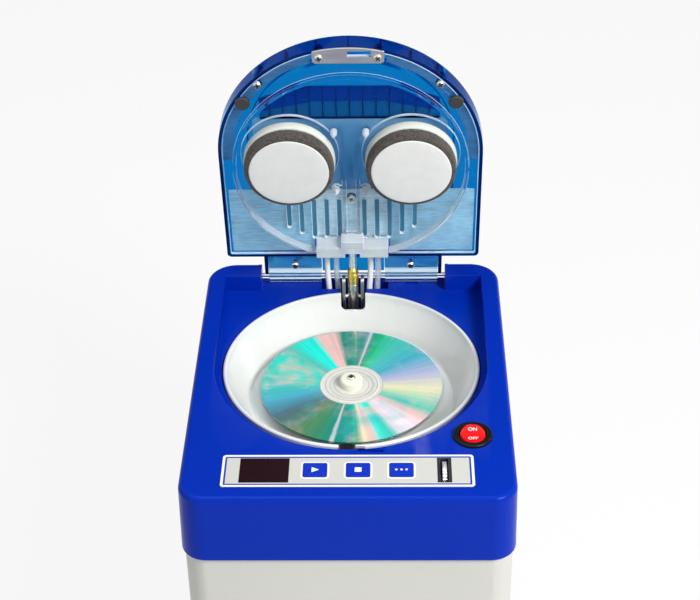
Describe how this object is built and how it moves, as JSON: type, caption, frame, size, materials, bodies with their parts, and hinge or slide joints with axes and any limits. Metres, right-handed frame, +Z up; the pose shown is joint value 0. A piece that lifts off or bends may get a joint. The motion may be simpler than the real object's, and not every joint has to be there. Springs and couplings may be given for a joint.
{
  "type": "disc repair machine",
  "caption": "Disc repair machine with a hinged translucent lid, two polishing heads and a splash bowl with turntable in a tall casing.",
  "frame": {"origin": "middle of the whole machine's footprint box, on the floor", "axes": "+Z up, +Y towards the hinge at the back, +X to the user's right"},
  "size_m": [0.1988, 0.2532, 0.4475],
  "materials": {
    "cover_blue": "glossy moulded blue",
    "casing_grey": "pale grey powder coat look",
    "steel": "satin",
    "rubber_black": "matt",
    "bowl_white": "glossy white",
    "black_plastic": "satin black",
    "label_white": "printed film",
    "window_dark": "dark acrylic",
    "board_green": "solder mask",
    "motor_metal": "zinc plated",
    "sleeve_white": "woven sleeve",
    "clear_plastic": "clear moulded plastic",
    "tank_plastic": "milky blow moulded",
    "hose_grey": "translucent hose",
    "lid_blue": "translucent blue",
    "foam_grey": "foam",
    "pad_white": "napped cloth",
    "hub_ivory": "ivory moulded",
    "disc_face": "iridescent disc",
    "rocker_red": "translucent red",
    "key_blue": "printed key",
    "brass_gland": "turned brass",
    "chrome_rod": "polished"
  },
  "bodies": {
    "root": {"top_cover": "cover_blue", "lower_casing": "casing_grey", "base_plate": "steel", "rubber_feet": "rubber_black", "casing_screws": "steel", "bowl": "bowl_white", "shaft_seal": "rubber_black", "lid_sensor": "black_plastic", "control_label": "label_white", "display_window": "window_dark", "control_board": "board_green", "power_switch_body": "black_plastic", "dial_bezel": "black_plastic", "dial_pot": "black_plastic", "latch_bracket": "steel", "latch_solenoid": "motor_metal", "turntable_motor": "motor_metal", "motor_mount": "steel", "strut_bracket": "steel", "hinge_pin": "chrome_rod", "wire_sleeves": "sleeve_white", "water_hoses": "clear_plastic", "hose_tee": "sleeve_white", "supply_hose": "hose_grey", "pump": "black_plastic", "water_tank": "tank_plastic", "drain_hose": "hose_grey", "power_board": "board_green", "dc_inlet": "black_plastic"},
    "lid": {"lid_shell": "lid_blue", "lid_inner_plate": "clear_plastic", "hinge_knuckles": "clear_plastic", "spray_manifold": "clear_plastic", "spray_nozzles": "clear_plastic", "latch_plate": "steel", "lid_bumpers": "rubber_black", "lid_screws": "steel", "motor_carrier": "clear_plastic", "head_motors": "motor_metal", "lid_wires": "sleeve_white"},
    "left_head": {"left_head_hub": "hub_ivory", "left_head_foam": "foam_grey", "left_polishing_pad": "pad_white"},
    "right_head": {"right_head_hub": "hub_ivory", "right_head_foam": "foam_grey", "right_polishing_pad": "pad_white"},
    "turntable": {"spindle_shaft": "steel", "turntable_hub": "hub_ivory", "hub_cap": "hub_ivory"},
    "disc": {"disc": "disc_face"},
    "power_rocker": {"power_rocker": "rocker_red"},
    "start_key": {"start_key": "key_blue"},
    "stop_key": {"stop_key": "key_blue"},
    "function_key": {"function_key": "key_blue"},
    "dial_wheel": {"dial_wheel": "chrome_rod"},
    "latch_hook": {"latch_hook": "steel"},
    "latch_plunger": {"latch_plunger": "steel"},
    "strut_cylinder": {"strut_cylinder": "chrome_rod", "strut_gland": "brass_gland"},
    "strut_rod": {"strut_rod": "chrome_rod"}
  },
  "joints": [
    {"name": "lid_hinge", "type": "hinge", "parent": "root", "child": "lid", "pos_m": [0, 0.11368, 0.2552], "axis": [-1, 0, 0], "range_deg": [-80.35, 0], "deforming": ["wire_sleeves", "water_hoses"]},
    {"name": "left_head_spin", "type": "hinge", "parent": "lid", "child": "left_head", "pos_m": [-0.039, 0.09553, 0.36197], "axis": [0, -0.9859, -0.1676], "continuous": true},
    {"name": "right_head_spin", "type": "hinge", "parent": "lid", "child": "right_head", "pos_m": [0.039, 0.09553, 0.36197], "axis": [0, -0.9859, -0.1676], "continuous": true},
    {"name": "turntable_spin", "type": "hinge", "parent": "root", "child": "turntable", "pos_m": [0, 0.01619, 0.235], "axis": [0, 0, 1], "continuous": true},
    {"name": "disc_lift", "type": "slide", "parent": "turntable", "child": "disc", "axis": [0, 0, 1], "range_m": [0, 0.04]},
    {"name": "power_rocker_tilt", "type": "hinge", "parent": "root", "child": "power_rocker", "pos_m": [0.0743, -0.06921, 0.2595], "axis": [-1, 0, 0], "range_deg": [0, 14]},
    {"name": "start_key_press", "type": "slide", "parent": "root", "child": "start_key", "axis": [0, 0, -1], "range_m": [0, 0.0005], "stiffness_N_per_m": 600, "springref_m": -0.0002},
    {"name": "stop_key_press", "type": "slide", "parent": "root", "child": "stop_key", "axis": [0, 0, -1], "range_m": [0, 0.0005], "stiffness_N_per_m": 600, "springref_m": -0.0002},
    {"name": "function_key_press", "type": "slide", "parent": "root", "child": "function_key", "axis": [0, 0, -1], "range_m": [0, 0.0005], "stiffness_N_per_m": 600, "springref_m": -0.0002},
    {"name": "dial_turn", "type": "hinge", "parent": "root", "child": "dial_wheel", "pos_m": [0.0565, -0.10082, 0.2544], "axis": [1, 0, 0], "range_deg": [-135, 135]},
    {"name": "latch_hook_swing", "type": "hinge", "parent": "root", "child": "latch_hook", "pos_m": [0.007, -0.07541, 0.233], "axis": [-1, 0, 0], "range_deg": [0, 3.7]},
    {"name": "latch_plunger_slide", "type": "slide", "parent": "root", "child": "latch_plunger", "axis": [0, -1, 0], "range_m": [0, 0.00077], "stiffness_N_per_m": 100, "springref_m": -0.0008},
    {"name": "strut_tilt", "type": "hinge", "parent": "root", "child": "strut_cylinder", "pos_m": [0, 0.10418, 0.244], "axis": [-1, 0, 0], "range_deg": [-70, 0]},
    {"name": "strut_slide", "type": "slide", "parent": "strut_cylinder", "child": "strut_rod", "axis": [0, 0.0006, 1], "range_m": [-0.0185, 0]}
  ],
  "couplings": [
    {"joint": "latch_hook_swing", "follows": "latch_plunger_slide", "rad_per_m": 83.333},
    {"joint": "strut_tilt", "follows": "lid_hinge", "ratio": 0.86},
    {"joint": "strut_slide", "follows": "lid_hinge", "m_per_rad": 0.0128}
  ]
}
